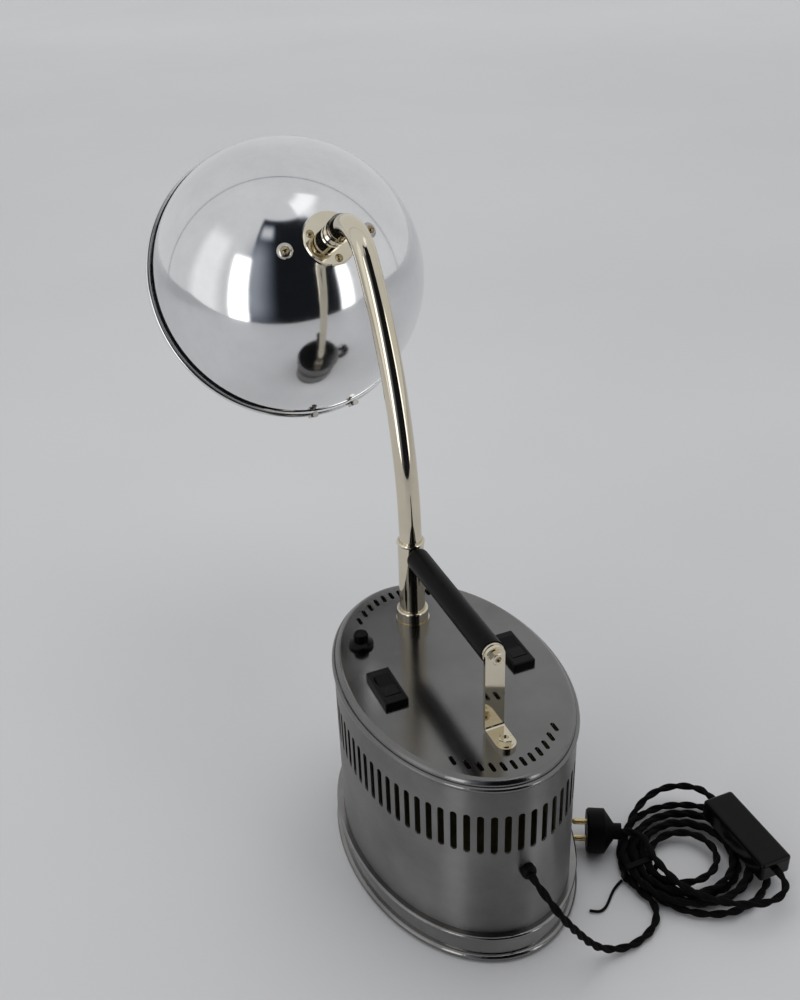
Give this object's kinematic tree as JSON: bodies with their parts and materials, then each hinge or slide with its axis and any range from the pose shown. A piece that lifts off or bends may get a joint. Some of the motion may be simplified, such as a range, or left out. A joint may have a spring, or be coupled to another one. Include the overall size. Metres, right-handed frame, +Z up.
{
  "type": "medical lamp",
  "caption": "Table-top treatment lamp: slotted oval housing with carrying handle, swivelling bent arm, round polished reflector on a ball joint, coiled cord.",
  "frame": {"origin": "under the middle of the oval housing, on the surface it stands on", "axes": "+Z up, Y along the housing's long axis with the post at +Y and the cord at -Y, +X towards the coiled cord"},
  "size_m": [0.3557, 0.572, 0.5055],
  "materials": {
    "brushed_steel": "brushed, lightly worn",
    "polished_steel": "polished",
    "warm_nickel": "polished nickel plate with a warm cast",
    "polished_aluminium": "polished, spun",
    "black_plastic": "moulded, glossy",
    "black_braid": "twisted textile",
    "tie_plastic": "matt",
    "holder_plastic": "matt",
    "cap_brass": "bright",
    "bulb_glass": "clear"
  },
  "bodies": {
    "base": {"bottom_plate": "brushed_steel", "body_shell": "brushed_steel", "lid": "brushed_steel", "base_ring": "polished_steel", "handle_rod": "polished_steel", "strap_washers": "polished_steel", "strap_nut": "polished_steel", "foot_bolt": "polished_steel", "control_case": "polished_steel", "plug_pins": "polished_steel", "post_collar": "warm_nickel", "post_sleeve": "warm_nickel", "grip_ring": "warm_nickel", "handle_strap": "warm_nickel", "handle_grip": "black_plastic", "switch_box_left": "black_plastic", "switch_box_right": "black_plastic", "cord_gland": "black_plastic", "inline_box_base": "black_plastic", "inline_box_cover": "black_plastic", "plug_body": "black_plastic", "cord_lead": "black_braid", "cord_coil": "black_braid", "cord_loop": "black_braid", "cord_tail": "black_braid", "cord_tie": "tie_plastic"},
    "arm": {"arm_tube": "warm_nickel", "neck_collar": "warm_nickel", "neck_ball": "warm_nickel"},
    "head": {"neck_cup": "warm_nickel", "flange": "warm_nickel", "flange_screws": "polished_steel", "reflector": "polished_aluminium", "reflector_washers": "polished_steel", "reflector_screws": "polished_steel", "rim_band": "polished_aluminium", "rim_clips": "polished_steel", "rim_clip_screws": "polished_steel", "lamp_holder": "holder_plastic", "bulb_cap": "cap_brass", "bulb_glass": "bulb_glass"},
    "left_rocker": {"switch_rocker_left": "black_plastic"},
    "right_rocker": {"switch_rocker_right": "black_plastic"},
    "dial": {"knob": "black_plastic", "knob_shaft": "polished_steel"}
  },
  "joints": [
    {"name": "arm_swivel", "type": "hinge", "parent": "base", "child": "arm", "pos_m": [0, 0.072, 0.199], "axis": [0, 0, 1], "range_deg": [-160, 160]},
    {"name": "head_tilt", "type": "hinge", "parent": "arm", "child": "head", "pos_m": [0, 0.20375, 0.45826], "axis": [0.9949, 0.0936, 0.0369], "range_deg": [-20, 20]},
    {"name": "left_switch", "type": "hinge", "parent": "base", "child": "left_rocker", "pos_m": [-0.0525, 0, 0.1797], "axis": [-1, 0, 0], "range_deg": [0, 14]},
    {"name": "right_switch", "type": "hinge", "parent": "base", "child": "right_rocker", "pos_m": [0.0525, 0, 0.1797], "axis": [-1, 0, 0], "range_deg": [0, 14]},
    {"name": "knob_turn", "type": "hinge", "parent": "base", "child": "dial", "pos_m": [-0.05, 0.059, 0.177], "axis": [0, 0, 1], "range_deg": [0, 270]}
  ]
}
